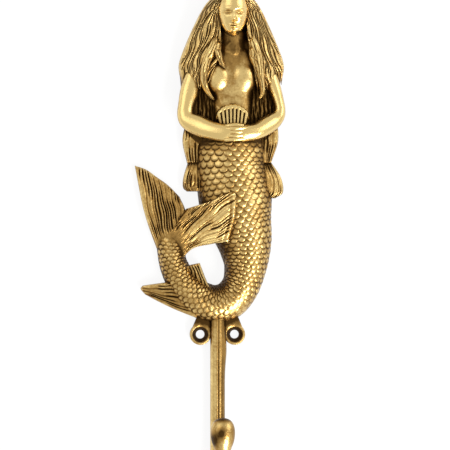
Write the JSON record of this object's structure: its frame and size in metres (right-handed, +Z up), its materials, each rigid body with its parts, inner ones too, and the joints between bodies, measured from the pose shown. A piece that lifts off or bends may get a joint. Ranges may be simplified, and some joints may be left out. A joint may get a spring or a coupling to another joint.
{
  "type": "coat hook",
  "caption": "Wall-mounted cast brass coat hook: a mermaid in relief with a scaled, curled tail, screw ears and a ball-ended hook below.",
  "frame": {"origin": "midway between the two screw holes, on the flat back that lies against the wall", "axes": "+Z up the wall, +Y into the wall, +X to the viewer's right; the hook points into the room along -Y"},
  "size_m": [0.0632, 0.0398, 0.2107],
  "materials": {
    "antique_brass": "antiqued cast brass, dark in the recesses and polished on the raised parts"
  },
  "bodies": {
    "root": {"coat_hook": "antique_brass"}
  },
  "joints": []
}
